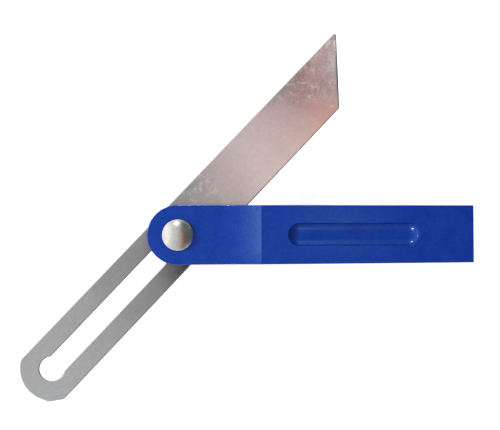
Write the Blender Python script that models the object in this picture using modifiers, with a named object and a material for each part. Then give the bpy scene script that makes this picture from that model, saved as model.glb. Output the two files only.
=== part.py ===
"""Sliding bevel with an eight inch slotted steel blade in a moulded plastic handle.

The tool lies flat with the bolt's domed head up and the wing nut below.
Every piece is drawn about the pivot: X runs to the handle's butt, Z up the bolt.
At the end the whole tool is moved so that the origin lies under the middle of its box.
Lengths are metres.
"""

import math

import bmesh
import bpy
from mathutils import Matrix, Vector

# Fits shared by all the pieces
SEAT_GAP = 0.0003
BOLT_CLEARANCE = 0.0003
CUT_OVERRUN = 0.0020
MERGE_DISTANCE = 0.00001

# Handle, one moulding with a thin pivot end and a thicker grip
HANDLE_WIDTH = 0.0256
PIVOT_TO_BUTT = 0.1321
PIVOT_END_THICKNESS = 0.0120
GRIP_THICKNESS = 0.0170
RAMP_START = 0.0180
RAMP_CREST = 0.0358
RAMP_CUT_SHARE = 1.25
HANDLE_EDGE_ROUND = 0.0003
BUTT_WEB_LENGTH = 0.0140
FINGER_RECESS_START = 0.0477
FINGER_RECESS_LENGTH = 0.0592
FINGER_RECESS_WIDTH = 0.0098
FINGER_RECESS_DEPTH = 0.0018

# Blade, ground spring steel with a round-ended slot and a keyhole end
BLADE_WIDTH = 0.0250
BLADE_THICKNESS = 0.0012
PIVOT_TO_TIP = 0.1151
PIVOT_TO_TAIL = 0.0905
TIP_CUT_ANGLE = math.radians(46.0)
TIP_CORNER_RADIUS = 0.0010
TAIL_CORNER_STEP = 0.0017
TAIL_CORNER_RADIUS = 0.0022
TAIL_STRAIGHT_ANGLE = math.radians(20.0)
TAIL_STRAIGHT_LENGTH = 0.0037
TAIL_FACET_TO_TAIL = 0.0073
BLADE_SLOT_WIDTH = 0.0081
SLOT_PAST_PIVOT = 0.0105
KEYHOLE_RADIUS = 0.00505
KEYHOLE_TO_TAIL = 0.0133
KEYHOLE_SIDE_SHIFT = 0.0002
BLADE_EDGE_CHAMFER = 0.00025
BLADE_SIDE_PLAY = 0.0010
BLADE_ANGLE = math.radians(46.25)

# Friction washers, one on each face of the blade inside the handle's slot
FRICTION_WASHER_DIAMETER = 0.0140
FRICTION_WASHER_THICKNESS = 0.0005

# Carriage bolt, M5 with a domed head and a square neck
BOLT_DIAMETER = 0.0050
BOLT_LENGTH = 0.0250
BOLT_END_CHAMFER = 0.0006
HEAD_DIAMETER = 0.0133
HEAD_HEIGHT = 0.0033
HEAD_RIM_HEIGHT = 0.0005
NECK_SIDE = 0.0052
NECK_LENGTH = 0.0035

# Flat washer under the wing nut
FLAT_WASHER_DIAMETER = 0.0100
FLAT_WASHER_THICKNESS = 0.0010

# Wing nut, cast, with two upright ears
NUT_BASE_DIAMETER = 0.0100
NUT_TOP_DIAMETER = 0.0082
NUT_HUB_HEIGHT = 0.0065
WING_SPAN = 0.0240
WING_HEIGHT = 0.0120
WING_THICKNESS = 0.0020
WING_LOBE_RADIUS = 0.0034
WING_FOOT_HEIGHT = 0.0012
WING_EDGE_ROUND = 0.0005

# Roundness of curved forms
ARC_STEPS = 24
TURN_STEPS = 48
FILLET_STEPS = 3

# Heights that the stack of pieces on the bolt shares
SLOT_HALF_HEIGHT = BLADE_THICKNESS / 2 + SEAT_GAP + FRICTION_WASHER_THICKNESS + SEAT_GAP
PIVOT_FACE_HEIGHT = PIVOT_END_THICKNESS / 2
GRIP_FACE_HEIGHT = GRIP_THICKNESS / 2
HEAD_SEAT_HEIGHT = PIVOT_FACE_HEIGHT + SEAT_GAP
BOLT_HOLE_RADIUS = BOLT_DIAMETER / 2 + BOLT_CLEARANCE


def clear_scene():
    for old_object in list(bpy.data.objects):
        bpy.data.objects.remove(old_object, do_unlink=True)


def new_collection(name):
    collection = bpy.data.collections.new(name)
    bpy.context.scene.collection.children.link(collection)
    return collection


def new_material(name, colour, roughness, metallic):
    material = bpy.data.materials.new(name)
    material.use_nodes = True
    shader = material.node_tree.nodes["Principled BSDF"]
    shader.inputs["Base Color"].default_value = (*colour, 1.0)
    shader.inputs["Roughness"].default_value = roughness
    shader.inputs["Metallic"].default_value = metallic
    material.diffuse_color = (*colour, 1.0)
    return material


def arc(centre, radius, start_angle, end_angle, steps=ARC_STEPS):
    """Points on an arc of a flat outline, both ends included."""
    points = []
    for step in range(steps + 1):
        angle = start_angle + (end_angle - start_angle) * step / steps
        points.append((centre[0] + radius * math.cos(angle), centre[1] + radius * math.sin(angle)))
    return points


def circle(radius, steps=TURN_STEPS):
    return arc((0.0, 0.0), radius, 0.0, 2 * math.pi, steps)[:-1]


def outline_solid(name, outlines, thickness, collection, edge_round=0.0):
    """A flat outline, with any holes, given a thickness centred on its own plane."""
    curve = bpy.data.curves.new(name, "CURVE")
    curve.dimensions = "2D"
    curve.fill_mode = "BOTH"
    curve.extrude = thickness / 2
    curve.bevel_depth = edge_round
    curve.bevel_resolution = FILLET_STEPS
    for outline in outlines:
        spline = curve.splines.new("POLY")
        spline.points.add(len(outline) - 1)
        for point, place in zip(spline.points, outline):
            point.co = (place[0], place[1], 0.0, 1.0)
        spline.use_cyclic_u = True
    drawn = bpy.data.objects.new(name + "_outline", curve)
    collection.objects.link(drawn)
    evaluated = drawn.evaluated_get(bpy.context.evaluated_depsgraph_get())
    mesh = bpy.data.meshes.new_from_object(evaluated)
    cleaned = bmesh.new()
    cleaned.from_mesh(mesh)
    bmesh.ops.remove_doubles(cleaned, verts=cleaned.verts, dist=MERGE_DISTANCE)
    bmesh.ops.recalc_face_normals(cleaned, faces=cleaned.faces)
    cleaned.to_mesh(mesh)
    cleaned.free()
    solid = bpy.data.objects.new(name, mesh)
    solid.matrix_world = drawn.matrix_world
    collection.objects.link(solid)
    bpy.data.objects.remove(drawn)
    return solid


def turned_solid(name, profile, collection):
    """A profile of radius and height pairs, top to bottom, turned about Z."""
    mesh = bpy.data.meshes.new(name)
    places = [(radius, 0.0, height) for radius, height in profile]
    mesh.from_pydata(places, [(step, step + 1) for step in range(len(places) - 1)], [])
    solid = bpy.data.objects.new(name, mesh)
    collection.objects.link(solid)
    screw = solid.modifiers.new("turn", "SCREW")
    screw.angle = 2 * math.pi
    screw.steps = TURN_STEPS
    screw.render_steps = TURN_STEPS
    screw.use_merge_vertices = True
    screw.merge_threshold = MERGE_DISTANCE
    screw.use_smooth_shade = True
    return solid


def box_solid(name, size, centre, collection):
    mesh = bpy.data.meshes.new(name)
    shaped = bmesh.new()
    bmesh.ops.create_cube(shaped, size=1.0)
    bmesh.ops.scale(shaped, vec=Vector(size), verts=shaped.verts)
    bmesh.ops.translate(shaped, vec=Vector(centre), verts=shaped.verts)
    shaped.to_mesh(mesh)
    shaped.free()
    solid = bpy.data.objects.new(name, mesh)
    collection.objects.link(solid)
    return solid


def move_mesh(solid, placing):
    solid.data.transform(placing)


def combine(solid, other, operation):
    """Cut or join with a guide piece that stays hidden beside the model."""
    other.hide_render = True
    other.display_type = "WIRE"
    step = solid.modifiers.new(operation.lower() + "_" + other.name, "BOOLEAN")
    step.operation = operation
    step.solver = "EXACT"
    step.object = other


def round_edges(solid, width, segments, angle_limit):
    bevel = solid.modifiers.new("edges", "BEVEL")
    bevel.width = width
    bevel.segments = segments
    bevel.limit_method = "ANGLE"
    bevel.angle_limit = angle_limit
    bevel.loop_slide = False
    bevel.use_clamp_overlap = True


def freeze(solid, material, smooth_angle=math.radians(35.0)):
    """Fix the modifiers into the mesh, so that what was cut can be drawn and moved alone."""
    bpy.context.view_layer.update()
    evaluated = solid.evaluated_get(bpy.context.evaluated_depsgraph_get())
    mesh = bpy.data.meshes.new_from_object(evaluated)
    solid.modifiers.clear()
    solid.data = mesh
    mesh.name = solid.name
    mesh.materials.clear()
    mesh.materials.append(material)
    mesh.shade_smooth()
    mesh.set_sharp_from_angle(angle=smooth_angle)


def handle_plan():
    """The handle seen from above: a round pivot end and a square butt."""
    half_width = HANDLE_WIDTH / 2
    outline = [(PIVOT_TO_BUTT, -half_width), (PIVOT_TO_BUTT, half_width)]
    outline += arc((0.0, 0.0), half_width, math.pi / 2, 3 * math.pi / 2)
    return outline


def ramp_side():
    """What is taken off one face of the pivot end: the concave ramp and the flat before it."""
    rise = GRIP_FACE_HEIGHT - PIVOT_FACE_HEIGHT
    run = RAMP_CREST - RAMP_START
    ramp_radius = (run * run + rise * rise) / (2 * rise)
    cut_angle = math.asin(run / ramp_radius) * RAMP_CUT_SHARE
    left = -HANDLE_WIDTH / 2 - CUT_OVERRUN
    ramp_centre = (RAMP_START, PIVOT_FACE_HEIGHT + ramp_radius)
    outline = [(left, PIVOT_FACE_HEIGHT)]
    outline += arc(ramp_centre, ramp_radius, -math.pi / 2, cut_angle - math.pi / 2, ARC_STEPS // 2)
    outline.append((left, outline[-1][1]))
    return outline


def recess_plan():
    """The middle line of the finger recess; its rounded wall stands out from it by the depth."""
    end_radius = FINGER_RECESS_WIDTH / 2 - FINGER_RECESS_DEPTH
    near_end = FINGER_RECESS_START + FINGER_RECESS_WIDTH / 2
    far_end = FINGER_RECESS_START + FINGER_RECESS_LENGTH - FINGER_RECESS_WIDTH / 2
    outline = arc((far_end, 0.0), end_radius, -math.pi / 2, math.pi / 2, ARC_STEPS // 2)
    outline += arc((near_end, 0.0), end_radius, math.pi / 2, 3 * math.pi / 2, ARC_STEPS // 2)
    return outline


def make_handle(parts, cutters, material):
    handle = outline_solid("handle", [handle_plan()], GRIP_THICKNESS, parts)
    upright = Matrix.Rotation(math.pi / 2, 4, "X")
    for side_name, side in (("front", 1), ("back", -1)):
        profile = [(along, side * height) for along, height in ramp_side()]
        ramp = outline_solid(side_name + "_ramp", [profile], HANDLE_WIDTH + CUT_OVERRUN, cutters)
        move_mesh(ramp, upright)
        combine(handle, ramp, "DIFFERENCE")
    round_edges(handle, HANDLE_EDGE_ROUND, 2, math.radians(40.0))
    for side_name, side in (("front", 1), ("back", -1)):
        recess = outline_solid(side_name + "_recess", [recess_plan()], 0.0, cutters, FINGER_RECESS_DEPTH)
        move_mesh(recess, Matrix.Translation((0.0, 0.0, side * GRIP_FACE_HEIGHT)))
        combine(handle, recess, "DIFFERENCE")
    slot_start = -HANDLE_WIDTH / 2 - CUT_OVERRUN
    slot_end = PIVOT_TO_BUTT - BUTT_WEB_LENGTH
    slot_size = (slot_end - slot_start, HANDLE_WIDTH + CUT_OVERRUN, 2 * SLOT_HALF_HEIGHT)
    slot = box_solid("blade_slot", slot_size, ((slot_start + slot_end) / 2, 0.0, 0.0), cutters)
    combine(handle, slot, "DIFFERENCE")
    neck_side = NECK_SIDE + 2 * BOLT_CLEARANCE
    neck_height = PIVOT_FACE_HEIGHT + CUT_OVERRUN
    neck_hole = box_solid("neck_hole", (neck_side, neck_side, neck_height), (0.0, 0.0, neck_height / 2), cutters)
    combine(handle, neck_hole, "DIFFERENCE")
    bolt_hole = outline_solid("bolt_hole", [circle(BOLT_HOLE_RADIUS)], neck_height, cutters)
    move_mesh(bolt_hole, Matrix.Translation((0.0, 0.0, -neck_height / 2)))
    combine(handle, bolt_hole, "DIFFERENCE")
    freeze(handle, material)
    return handle


def rounded_corner(corner, before, after, radius):
    """Points that round one convex corner of an outline between its two neighbours."""
    to_before = (Vector(before) - Vector(corner)).normalized()
    to_after = (Vector(after) - Vector(corner)).normalized()
    half_angle = to_before.angle(to_after) / 2
    centre = Vector(corner) + (to_before + to_after).normalized() * radius / math.sin(half_angle)
    start = (Vector(corner) + to_before * radius / math.tan(half_angle)) - centre
    end = (Vector(corner) + to_after * radius / math.tan(half_angle)) - centre
    start_angle = math.atan2(start.y, start.x)
    sweep = (math.atan2(end.y, end.x) - start_angle + math.pi) % (2 * math.pi) - math.pi
    return arc(centre, radius, start_angle, start_angle + sweep, ARC_STEPS // 4)


def blade_plan():
    """The blade along its own middle line: an angled tip and a round tail with one blunt corner."""
    half_width = BLADE_WIDTH / 2
    long_corner = (PIVOT_TO_TIP, half_width)
    short_corner = (PIVOT_TO_TIP - BLADE_WIDTH / math.tan(TIP_CUT_ANGLE), -half_width)
    tail_radius = half_width + TAIL_CORNER_STEP
    tail_centre = tail_radius - PIVOT_TO_TAIL
    tail_angle = math.asin(half_width / tail_radius)
    tail_end = arc((tail_centre, 0.0), tail_radius, math.pi - tail_angle, math.pi + TAIL_STRAIGHT_ANGLE)
    blunt_corner = (
        tail_end[-1][0] + TAIL_STRAIGHT_LENGTH * math.sin(TAIL_STRAIGHT_ANGLE),
        tail_end[-1][1] - TAIL_STRAIGHT_LENGTH * math.cos(TAIL_STRAIGHT_ANGLE),
    )
    side_corner = (TAIL_FACET_TO_TAIL - PIVOT_TO_TAIL, -half_width)
    outline = rounded_corner(tail_end[0], long_corner, tail_end[1], TAIL_CORNER_RADIUS)
    outline += tail_end[1:]
    outline += rounded_corner(blunt_corner, tail_end[-1], side_corner, TAIL_CORNER_RADIUS)
    outline += rounded_corner(side_corner, blunt_corner, short_corner, TAIL_CORNER_RADIUS)
    outline += rounded_corner(short_corner, side_corner, long_corner, TIP_CORNER_RADIUS)
    outline += rounded_corner(long_corner, short_corner, tail_end[0], TIP_CORNER_RADIUS)
    return outline


def blade_slot_plan():
    """The slot from its round end past the pivot to the keyhole near the tail."""
    half_slot = BLADE_SLOT_WIDTH / 2
    keyhole = (KEYHOLE_TO_TAIL - PIVOT_TO_TAIL, KEYHOLE_SIDE_SHIFT)
    near_mouth = math.asin((half_slot - KEYHOLE_SIDE_SHIFT) / KEYHOLE_RADIUS)
    far_mouth = math.asin((half_slot + KEYHOLE_SIDE_SHIFT) / KEYHOLE_RADIUS)
    outline = arc((SLOT_PAST_PIVOT, 0.0), half_slot, -math.pi / 2, math.pi / 2)
    outline += arc(keyhole, KEYHOLE_RADIUS, near_mouth, 2 * math.pi - far_mouth)
    return outline


def make_blade(parts, material):
    blade = outline_solid("blade", [blade_plan(), blade_slot_plan()], BLADE_THICKNESS, parts)
    move_mesh(blade, Matrix.Translation((0.0, -BLADE_SIDE_PLAY, 0.0)))
    round_edges(blade, BLADE_EDGE_CHAMFER, 1, math.radians(75.0))
    freeze(blade, material)
    return blade


def ring(name, outer_diameter, thickness, centre_height, parts, material):
    """A flat washer on the bolt."""
    washer = outline_solid(name, [circle(outer_diameter / 2), circle(BOLT_HOLE_RADIUS)], thickness, parts)
    move_mesh(washer, Matrix.Translation((0.0, 0.0, centre_height)))
    freeze(washer, material)
    return washer


def make_bolt(parts, cutters, material):
    """Carriage bolt: the domed head and the shank turned together, the square neck joined on."""
    head_radius = HEAD_DIAMETER / 2
    shank_radius = BOLT_DIAMETER / 2
    dome_rise = HEAD_HEIGHT - HEAD_RIM_HEIGHT
    dome_radius = (head_radius * head_radius + dome_rise * dome_rise) / (2 * dome_rise)
    dome_angle = math.asin(head_radius / dome_radius)
    dome_centre = (0.0, HEAD_SEAT_HEIGHT + HEAD_HEIGHT - dome_radius)
    bolt_end = HEAD_SEAT_HEIGHT - BOLT_LENGTH
    profile = arc(dome_centre, dome_radius, math.pi / 2, math.pi / 2 - dome_angle, ARC_STEPS // 2)
    profile[0] = (0.0, HEAD_SEAT_HEIGHT + HEAD_HEIGHT)
    profile.append((head_radius, HEAD_SEAT_HEIGHT))
    profile.append((shank_radius, HEAD_SEAT_HEIGHT))
    profile.append((shank_radius, bolt_end + BOLT_END_CHAMFER))
    profile.append((shank_radius - BOLT_END_CHAMFER, bolt_end))
    profile.append((0.0, bolt_end))
    bolt = turned_solid("pivot_bolt", profile, parts)
    neck_top = HEAD_SEAT_HEIGHT + HEAD_RIM_HEIGHT
    neck_size = (NECK_SIDE, NECK_SIDE, NECK_LENGTH + HEAD_RIM_HEIGHT)
    neck = box_solid("square_neck", neck_size, (0.0, 0.0, neck_top - neck_size[2] / 2), cutters)
    combine(bolt, neck, "UNION")
    freeze(bolt, material)
    return bolt


def wing_side(side):
    """One ear of the wing nut seen from the side, rising from its seat at height zero."""
    lobe_along = WING_SPAN / 2 - WING_LOBE_RADIUS
    lobe_height = WING_HEIGHT - WING_LOBE_RADIUS
    foot_along = NUT_BASE_DIAMETER / 2
    outer_tangent = math.atan2(lobe_height - WING_FOOT_HEIGHT, lobe_along - foot_along) - math.pi / 2
    inner_tangent = math.pi - math.atan2(lobe_height - NUT_HUB_HEIGHT, lobe_along) / 2
    outline = [(0.0, WING_FOOT_HEIGHT), (foot_along, WING_FOOT_HEIGHT)]
    outline += arc((lobe_along, lobe_height), WING_LOBE_RADIUS, outer_tangent, inner_tangent, ARC_STEPS // 2)
    outline += [(NUT_TOP_DIAMETER / 2, NUT_HUB_HEIGHT - WING_EDGE_ROUND), (0.0, NUT_HUB_HEIGHT - WING_EDGE_ROUND)]
    return [(side * along, height) for along, height in outline]


def make_wing_nut(parts, cutters, seat_height, material):
    """Wing nut with its seat on the flat washer and its ears hanging down from it."""
    profile = [(0.0, NUT_HUB_HEIGHT), (NUT_TOP_DIAMETER / 2, NUT_HUB_HEIGHT), (NUT_BASE_DIAMETER / 2, 0.0), (0.0, 0.0)]
    nut = turned_solid("wing_nut", profile, parts)
    upright = Matrix.Rotation(math.pi / 2, 4, "X")
    for side_name, side in (("right", 1), ("left", -1)):
        wing = outline_solid(side_name + "_wing", [wing_side(side)], WING_THICKNESS, cutters)
        move_mesh(wing, upright)
        round_edges(wing, WING_EDGE_ROUND, 2, math.radians(60.0))
        combine(nut, wing, "UNION")
    bore = outline_solid("nut_bore", [circle(BOLT_HOLE_RADIUS)], 2 * (NUT_HUB_HEIGHT + CUT_OVERRUN), cutters)
    combine(nut, bore, "DIFFERENCE")
    freeze(nut, material)
    move_mesh(nut, Matrix.Rotation(math.pi, 4, "X"))
    nut.location = (0.0, 0.0, seat_height)
    return nut


def model_box(parts):
    """The corners of the box round every piece, from the finished meshes."""
    bpy.context.view_layer.update()
    corners = []
    for piece in parts.objects:
        if piece.type == "MESH":
            corners += [piece.matrix_world @ vertex.co for vertex in piece.data.vertices]
    low = Vector([min(corner[axis] for corner in corners) for axis in range(3)])
    high = Vector([max(corner[axis] for corner in corners) for axis in range(3)])
    return low, high


def main():
    clear_scene()
    parts = new_collection("sliding_bevel")
    cutters = new_collection("cutters")
    blue_plastic = new_material("blue_plastic", (0.012, 0.038, 0.30), 0.45, 0.0)
    blade_steel = new_material("blade_steel", (0.52, 0.50, 0.50), 0.35, 1.0)
    polished_steel = new_material("polished_steel", (0.72, 0.71, 0.70), 0.15, 1.0)
    white_nylon = new_material("white_nylon", (0.78, 0.77, 0.72), 0.55, 0.0)
    zinc_plate = new_material("zinc_plate", (0.62, 0.63, 0.65), 0.32, 1.0)

    handle = make_handle(parts, cutters, blue_plastic)
    blade = make_blade(parts, blade_steel)
    bolt = make_bolt(parts, cutters, polished_steel)
    friction_height = BLADE_THICKNESS / 2 + SEAT_GAP + FRICTION_WASHER_THICKNESS / 2
    front_washer = ring("front_friction_washer", FRICTION_WASHER_DIAMETER, FRICTION_WASHER_THICKNESS,
                        friction_height, parts, white_nylon)
    rear_washer = ring("rear_friction_washer", FRICTION_WASHER_DIAMETER, FRICTION_WASHER_THICKNESS,
                       -friction_height, parts, white_nylon)
    flat_washer_height = -PIVOT_FACE_HEIGHT - SEAT_GAP - FLAT_WASHER_THICKNESS / 2
    flat_washer = ring("flat_washer", FLAT_WASHER_DIAMETER, FLAT_WASHER_THICKNESS,
                       flat_washer_height, parts, zinc_plate)
    nut_seat_height = flat_washer_height - FLAT_WASHER_THICKNESS / 2 - SEAT_GAP
    wing_nut = make_wing_nut(parts, cutters, nut_seat_height, zinc_plate)

    pivot = bpy.data.objects.new("pivot", None)
    parts.objects.link(pivot)
    blade_turn = bpy.data.objects.new("blade_turn", None)
    parts.objects.link(blade_turn)
    blade_turn.parent = pivot
    blade_turn.rotation_euler = (0.0, 0.0, BLADE_ANGLE)
    for piece in (handle, bolt, flat_washer, wing_nut):
        piece.parent = pivot
    for piece in (blade, front_washer, rear_washer):
        piece.parent = blade_turn

    low, high = model_box(parts)
    pivot.location = (-(low.x + high.x) / 2, -(low.y + high.y) / 2, -low.z)
    bpy.context.view_layer.update()
    print("pivot at", [round(value, 6) for value in pivot.matrix_world.translation])
    print("box", [round(value, 6) for value in high - low])


main()
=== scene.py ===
import math

import bmesh
import bpy
from mathutils import Matrix, Vector


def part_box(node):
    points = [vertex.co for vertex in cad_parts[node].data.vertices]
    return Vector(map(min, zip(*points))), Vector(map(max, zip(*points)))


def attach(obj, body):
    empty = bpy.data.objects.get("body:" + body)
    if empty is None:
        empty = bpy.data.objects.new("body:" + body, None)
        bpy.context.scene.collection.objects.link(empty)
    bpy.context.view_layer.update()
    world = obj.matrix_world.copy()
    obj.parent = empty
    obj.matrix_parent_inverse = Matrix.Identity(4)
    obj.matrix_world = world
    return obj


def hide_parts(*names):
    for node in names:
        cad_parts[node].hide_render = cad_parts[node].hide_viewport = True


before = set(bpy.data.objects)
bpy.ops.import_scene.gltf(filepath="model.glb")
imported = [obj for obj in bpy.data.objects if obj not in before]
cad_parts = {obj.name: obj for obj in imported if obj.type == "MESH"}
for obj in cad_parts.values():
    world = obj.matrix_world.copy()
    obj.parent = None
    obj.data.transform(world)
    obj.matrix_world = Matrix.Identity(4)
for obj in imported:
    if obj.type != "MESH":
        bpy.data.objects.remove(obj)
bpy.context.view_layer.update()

# The pivot: every piece is drawn about the middle of the bolt,
# at the height of the middle of the blade, and set down there.
bolt_low, bolt_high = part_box("pivot_bolt")
blade_low, blade_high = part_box("blade")
pivot = Vector((
    (bolt_low.x + bolt_high.x) / 2,
    (bolt_low.y + bolt_high.y) / 2,
    (blade_low.z + blade_high.z) / 2,
))
blade_degrees = 46.25
set_down = Matrix.Translation(pivot)
blade_set_down = set_down @ Matrix.Rotation(math.radians(blade_degrees), 4, "Z")


# Camera: the photograph looks straight down on the front of the tool,
# which lay propped on its wing nut, so the view leans a little along the handle.
camera_from_pivot = Vector((-0.02386, 0.00307, 0.36920))
lens_pixels = 850.0
photo_width = 500.0


def stand(name, data):
    """A new object in the scene."""
    made = bpy.data.objects.new(name, data)
    bpy.context.scene.collection.objects.link(made)
    return made


camera_data = bpy.data.cameras.new("camera")
camera_data.sensor_fit = "HORIZONTAL"
camera_data.sensor_width = 36.0
camera_data.lens = camera_data.sensor_width * lens_pixels / photo_width
camera_data.clip_start = 0.01
camera = stand("camera", camera_data)
camera_turn = (
    Matrix.Rotation(math.radians(-0.178), 4, "Z")
    @ Matrix.Rotation(math.radians(-8.627), 4, "Y")
    @ Matrix.Rotation(math.radians(0.876), 4, "X")
)
camera.matrix_world = Matrix.Translation(pivot + camera_from_pivot) @ camera_turn
bpy.context.scene.camera = camera


# Floor: a plain white sheet under the tool.
# It is matt, keeps the tool's soft shadow, and looks white to the camera and to shiny metal.
floor_half_width = 3.0
floor_white = (0.86, 0.86, 0.86)
floor_glow = 0.71
full_white = (1.0, 1.0, 1.0)

floor_shaped = bmesh.new()
bmesh.ops.create_grid(floor_shaped, x_segments=1, y_segments=1, size=floor_half_width)
floor_mesh = bpy.data.meshes.new("floor")
floor_shaped.to_mesh(floor_mesh)
floor_shaped.free()
floor = stand("floor", floor_mesh)


def new_material(name):
    """A new material, with its node tree and its shader."""
    material = bpy.data.materials.new(name)
    material.use_nodes = True
    return material, material.node_tree, material.node_tree.nodes["Principled BSDF"]


def feed(tree, socket, value):
    """Give a socket the output of another, or a number, vector or colour of its own."""
    if isinstance(value, bpy.types.NodeSocket):
        tree.links.new(value, socket)
    elif socket.type == "RGBA":
        socket.default_value = (*value, 1.0)
    else:
        socket.default_value = value


def fill(tree, node, values):
    """Feed a node's sockets by their names."""
    for name, value in values.items():
        feed(tree, node.inputs[name], value)


def reckon(tree, action, *values):
    """A sum on values, each of them a number or a socket."""
    sum_node = tree.nodes.new("ShaderNodeMath")
    sum_node.operation = action
    for socket, value in zip(sum_node.inputs, values):
        feed(tree, socket, value)
    return sum_node.outputs["Value"]


def sees_white(tree):
    """One for rays from the camera, off something shiny or through something clear."""
    path = tree.nodes.new("ShaderNodeLightPath").outputs
    seen = reckon(tree, "MAXIMUM", path["Is Camera Ray"], path["Is Glossy Ray"])
    return reckon(tree, "MAXIMUM", seen, path["Is Transmission Ray"])


floor_paint, floor_tree, floor_shader = new_material("white_sheet")
fill(floor_tree, floor_shader, {
    "Base Color": floor_white,
    "Roughness": 0.9,
    "Specular IOR Level": 0.1,
    "Emission Color": full_white,
    "Emission Strength": reckon(floor_tree, "MULTIPLY", sees_white(floor_tree), floor_glow),
})
floor_mesh.materials.append(floor_paint)


# Light: a wide soft window to the left, small lamps before and behind, and a pale room.
# Shiny metal sees the room bright on the left and dark red and grey on the right.
# Three more small lamps are there for reflections alone.
def soft_lamp(name, place, size, power, lights_matt=True, lights_shiny=True):
    """An oval lamp that faces the pivot, for matt surfaces, for reflections or for both."""
    lamp_data = bpy.data.lights.new(name, "AREA")
    lamp_data.shape = "ELLIPSE"
    lamp_data.size, lamp_data.size_y = size
    lamp_data.energy = power
    lamp = stand(name, lamp_data)
    aim = (pivot - place).to_track_quat("-Z", "Y").to_matrix().to_4x4()
    lamp.matrix_world = Matrix.Translation(place) @ aim
    lamp.visible_diffuse = lights_matt
    lamp.visible_glossy = lights_shiny
    return lamp


soft_lamp("window_lamp", pivot + Vector((-0.90, 0.20, 0.50)), (0.60, 0.25), 12.5, lights_shiny=False)
soft_lamp("near_lamp", pivot + Vector((-0.42, -0.74, 0.42)), (0.16, 0.16), 1.7, lights_shiny=False)
soft_lamp("far_lamp", pivot + Vector((-0.04, 0.90, 0.42)), (0.30, 0.30), 1.1)
glint_lamps = [
    soft_lamp(name, pivot + Vector(place), (width, width), power, lights_matt=False)
    for name, place, width, power in (
        ("far_glint_lamp", (0.067, 0.874, 0.70), 0.13, 14.0),
        ("near_glint_lamp", (-0.010, -0.430, 0.70), 0.09, 5.5),
        ("left_glint_lamp", (-0.900, 0.150, 0.50), 0.09, 1.0),
    )
]


def reckon_vectors(tree, action, *vectors):
    """A sum on vectors, each of them plain or a socket."""
    sum_node = tree.nodes.new("ShaderNodeVectorMath")
    sum_node.operation = action
    for socket, vector in zip(sum_node.inputs, vectors):
        feed(tree, socket, vector)
    return sum_node.outputs["Value" if action in ("DOT_PRODUCT", "LENGTH") else "Vector"]


def parted(tree, vector):
    """The X, Y and Z of a vector."""
    parts = tree.nodes.new("ShaderNodeSeparateXYZ")
    feed(tree, parts.inputs["Vector"], vector)
    return parts.outputs


def remap(tree, value, low, high, to_low=0.0, to_high=1.0, smooth=False):
    """A value between low and high, brought to another range and held inside it."""
    ranged = tree.nodes.new("ShaderNodeMapRange")
    ranged.interpolation_type = "SMOOTHSTEP" if smooth else "LINEAR"
    fill(tree, ranged, {
        "Value": value, "From Min": low, "From Max": high, "To Min": to_low, "To Max": to_high})
    return ranged.outputs["Result"]


def tinted(tree, share, base, layer, blend="MIX"):
    """A base colour under a share of a layer, each of them a socket or plain."""
    mixed = tree.nodes.new("ShaderNodeMix")
    mixed.data_type = "RGBA"
    mixed.blend_type = blend
    fill(tree, mixed, {"Factor": share, "A": base, "B": layer})
    return mixed.outputs["Result"]


def colour_ramp(tree, value, stops):
    """A value's colour on a ramp that has a colour at each stop from 0 to 1."""
    ramp = tree.nodes.new("ShaderNodeValToRGB")
    for _ in stops[2:]:
        ramp.color_ramp.elements.new(1.0)
    for element, (stop_place, stop_colour) in zip(ramp.color_ramp.elements, stops):
        element.position = stop_place
        element.color = (*stop_colour, 1.0)
    feed(tree, ramp.inputs["Fac"], value)
    return ramp.outputs["Color"]


room = bpy.data.worlds.new("room")
bpy.context.scene.world = room
room.use_nodes = True
room_tree = room.node_tree
room_tree.nodes.clear()
room_direction = room_tree.nodes.new("ShaderNodeTexCoord").outputs["Generated"]
room_axis = Vector((0.998, -0.06, 0.0)).normalized()
room_sideways = reckon_vectors(room_tree, "DOT_PRODUCT", room_direction, room_axis)
room_share = remap(room_tree, room_sideways, -1.0, 1.0)
room_depth = parted(room_tree, room_direction)["Y"]
room_walls = colour_ramp(room_tree, room_share, (
    (0.03, (1.55, 1.55, 1.52)),
    (0.10, (1.85, 1.85, 1.74)),
    (0.20, (1.35, 1.36, 1.28)),
    (0.30, (1.00, 1.00, 0.98)),
    (0.42, (0.94, 0.94, 0.95)),
    (0.50, (0.87, 0.86, 0.86)),
    (0.57, (0.76, 0.75, 0.74)),
    (0.63, (0.64, 0.62, 0.60)),
    (0.69, (0.46, 0.40, 0.38)),
    (0.75, (0.41, 0.18, 0.14)),
    (0.81, (0.39, 0.12, 0.09)),
    (0.87, (0.20, 0.15, 0.16)),
    (0.95, (0.12, 0.16, 0.18)),
))


def room_corner(depth_from, depth_to, share_from, share_to):
    """One in a corner of the room, with soft borders in depth and to the left."""
    deep = remap(room_tree, room_depth, depth_from, depth_to, smooth=True)
    right = remap(room_tree, room_share, share_from, share_to, smooth=True)
    return reckon(room_tree, "MULTIPLY", deep, right)


def room_glow(colour, strength):
    """The light that comes from the room."""
    glow = room_tree.nodes.new("ShaderNodeBackground")
    fill(room_tree, glow, {"Color": colour, "Strength": strength})
    return glow.outputs["Background"]


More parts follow.
